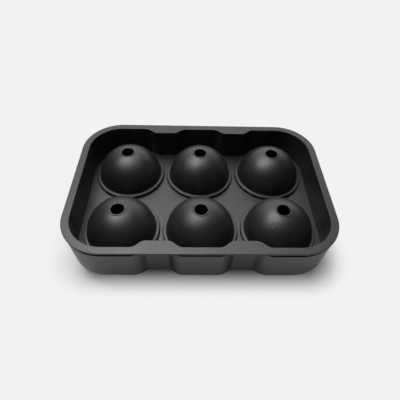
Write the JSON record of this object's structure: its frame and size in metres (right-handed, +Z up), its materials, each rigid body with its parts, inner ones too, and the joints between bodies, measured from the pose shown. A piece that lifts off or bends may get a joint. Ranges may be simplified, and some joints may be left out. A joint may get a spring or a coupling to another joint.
{
  "type": "ice ball mold",
  "caption": "Two-piece silicone mould for ice balls: a domed upper tray with fill holes nests in a lower tray whose cups complete each ball, and lifts straight off.",
  "frame": {"origin": "on the surface that the feet stand on, under the middle of the tray", "axes": "+X along the tray's long side, +Y across it, away from the viewer of the picture, +Z up, the way the upper half lifts off"},
  "size_m": [0.1834, 0.1248, 0.0486],
  "materials": {
    "silicone_lower": "matte charcoal silicone",
    "silicone_upper": "matte charcoal silicone"
  },
  "bodies": {
    "lower": {"lower_half": "silicone_lower"},
    "upper": {"upper_half": "silicone_upper"}
  },
  "joints": [
    {"name": "upper_lift", "type": "slide", "parent": "lower", "child": "upper", "axis": [0, 0, 1], "range_m": [0, 0.06]}
  ]
}
